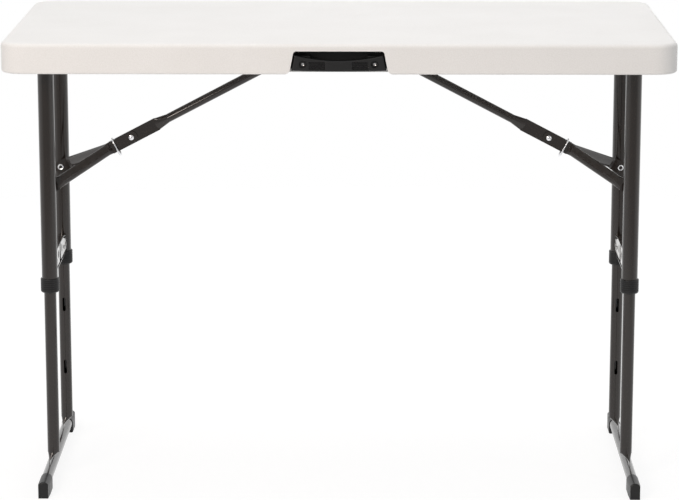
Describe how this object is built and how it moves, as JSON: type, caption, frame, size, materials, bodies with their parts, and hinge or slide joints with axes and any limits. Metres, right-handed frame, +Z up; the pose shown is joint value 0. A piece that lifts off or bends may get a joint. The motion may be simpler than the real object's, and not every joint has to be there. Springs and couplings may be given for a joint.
{
  "type": "folding utility table",
  "caption": "Folding utility table with a one-piece moulded top, carrying handle, folding braced leg frames and telescoping lower legs.",
  "frame": {"origin": "on the floor, under the middle of the top", "axes": "+X along the length of the top, -Y towards the edge with the carrying handle, +Z up"},
  "size_m": [1.219, 0.61, 0.864],
  "materials": {
    "white_moulding": "finely pebbled high-density polyethylene",
    "bronze_powder_coat": "gloss dark bronze powder coat on steel tube",
    "black_plastic": "fine-textured black polypropylene",
    "zinc_plate": "bright zinc plate on pressed steel",
    "chrome_wire": "bright chrome plate",
    "steel_screw": "zinc-plated steel"
  },
  "bodies": {
    "top": {"table_top": "white_moulding", "carry_handle": "black_plastic", "handle_screws": "steel_screw", "brace_anchor_front": "bronze_powder_coat", "brace_anchor_rear": "bronze_powder_coat", "underside_screws": "steel_screw", "left_hinge_bracket_front": "bronze_powder_coat", "left_hinge_bracket_rear": "bronze_powder_coat", "left_brace_pin": "steel_screw", "right_hinge_bracket_front": "bronze_powder_coat", "right_hinge_bracket_rear": "bronze_powder_coat", "right_brace_pin": "steel_screw"},
    "left_leg": {"left_pivot_tube": "bronze_powder_coat", "left_pivot_bushes": "black_plastic", "left_outer_tube_front": "bronze_powder_coat", "left_outer_tube_rear": "bronze_powder_coat", "left_tube_plugs": "black_plastic", "left_collar_front": "black_plastic", "left_collar_rear": "black_plastic", "left_lock_channel": "bronze_powder_coat", "left_lock_guides": "steel_screw", "left_lock_spring": "steel_screw"},
    "left_lower_leg": {"left_inner_tube_front": "bronze_powder_coat", "left_inner_tube_rear": "bronze_powder_coat", "left_inner_bushes": "black_plastic", "left_foot_bar": "bronze_powder_coat", "left_foot_cap_front": "black_plastic", "left_foot_cap_rear": "black_plastic"},
    "left_front_lever": {"left_lock_lever_front": "zinc_plate"},
    "left_rear_lever": {"left_lock_lever_rear": "zinc_plate"},
    "left_brace": {"left_brace_tube": "bronze_powder_coat", "left_elbow_rivet": "chrome_wire"},
    "left_fork": {"left_fork_arm_front": "bronze_powder_coat", "left_fork_arm_rear": "bronze_powder_coat", "left_fork_rivets": "chrome_wire"},
    "left_ring": {"left_lock_ring": "chrome_wire"},
    "right_leg": {"right_pivot_tube": "bronze_powder_coat", "right_pivot_bushes": "black_plastic", "right_outer_tube_front": "bronze_powder_coat", "right_outer_tube_rear": "bronze_powder_coat", "right_tube_plugs": "black_plastic", "right_collar_front": "black_plastic", "right_collar_rear": "black_plastic", "right_lock_channel": "bronze_powder_coat", "right_lock_guides": "steel_screw", "right_lock_spring": "steel_screw"},
    "right_lower_leg": {"right_inner_tube_front": "bronze_powder_coat", "right_inner_tube_rear": "bronze_powder_coat", "right_inner_bushes": "black_plastic", "right_foot_bar": "bronze_powder_coat", "right_foot_cap_front": "black_plastic", "right_foot_cap_rear": "black_plastic"},
    "right_front_lever": {"right_lock_lever_front": "zinc_plate"},
    "right_rear_lever": {"right_lock_lever_rear": "zinc_plate"},
    "right_brace": {"right_brace_tube": "bronze_powder_coat", "right_elbow_rivet": "chrome_wire"},
    "right_fork": {"right_fork_arm_front": "bronze_powder_coat", "right_fork_arm_rear": "bronze_powder_coat", "right_fork_rivets": "chrome_wire"},
    "right_ring": {"right_lock_ring": "chrome_wire"}
  },
  "joints": [
    {"name": "left_leg_fold", "type": "hinge", "parent": "top", "child": "left_leg", "pos_m": [-0.5257, 0, 0.814], "axis": [0, -1, 0], "range_deg": [0, 90]},
    {"name": "left_leg_height", "type": "slide", "parent": "left_leg", "child": "left_lower_leg", "axis": [0, 0, 1], "range_m": [0, 0.31]},
    {"name": "left_height_lock", "type": "slide", "parent": "left_leg", "child": "left_rear_lever", "axis": [0, -1, 0], "range_m": [-0.004, 0]},
    {"name": "left_height_lock_front", "type": "slide", "parent": "left_leg", "child": "left_front_lever", "axis": [0, 1, 0], "range_m": [-0.004, 0]},
    {"name": "left_brace_swing", "type": "hinge", "parent": "top", "child": "left_brace", "pos_m": [-0.0382, 0, 0.83], "axis": [0, -1, 0], "range_deg": [-18.99, 0]},
    {"name": "left_brace_elbow", "type": "hinge", "parent": "left_brace", "child": "left_fork", "pos_m": [-0.39825, 0, 0.64104], "axis": [0, -1, 0], "range_deg": [0, 180.01]},
    {"name": "left_ring_slide", "type": "slide", "parent": "left_brace", "child": "left_ring", "axis": [0.8855, 0, 0.4647], "range_m": [0, 0.3001]},
    {"name": "right_leg_fold", "type": "hinge", "parent": "top", "child": "right_leg", "pos_m": [0.5257, 0, 0.814], "axis": [0, 1, 0], "range_deg": [0, 90]},
    {"name": "right_leg_height", "type": "slide", "parent": "right_leg", "child": "right_lower_leg", "axis": [0, 0, 1], "range_m": [0, 0.31]},
    {"name": "right_height_lock", "type": "slide", "parent": "right_leg", "child": "right_rear_lever", "axis": [0, -1, 0], "range_m": [-0.004, 0]},
    {"name": "right_height_lock_front", "type": "slide", "parent": "right_leg", "child": "right_front_lever", "axis": [0, 1, 0], "range_m": [-0.004, 0]},
    {"name": "right_brace_swing", "type": "hinge", "parent": "top", "child": "right_brace", "pos_m": [0.0382, 0, 0.83], "axis": [0, 1, 0], "range_deg": [-18.99, 0]},
    {"name": "right_brace_elbow", "type": "hinge", "parent": "right_brace", "child": "right_fork", "pos_m": [0.39825, 0, 0.64104], "axis": [0, 1, 0], "range_deg": [0, 180.01]},
    {"name": "right_ring_slide", "type": "slide", "parent": "right_brace", "child": "right_ring", "axis": [-0.8855, 0, 0.4647], "range_m": [0, 0.3001]}
  ],
  "couplings": [
    {"joint": "left_brace_swing", "follows": "left_leg_fold", "ratio": -0.21092},
    {"joint": "left_brace_elbow", "follows": "left_leg_fold", "ratio": 2},
    {"joint": "left_ring_slide", "follows": "left_leg_fold", "m_per_rad": 0.19099},
    {"joint": "left_height_lock_front", "follows": "left_height_lock", "ratio": 1},
    {"joint": "right_brace_swing", "follows": "right_leg_fold", "ratio": -0.21092},
    {"joint": "right_brace_elbow", "follows": "right_leg_fold", "ratio": 2},
    {"joint": "right_ring_slide", "follows": "right_leg_fold", "m_per_rad": 0.19099},
    {"joint": "right_height_lock_front", "follows": "right_height_lock", "ratio": 1}
  ]
}
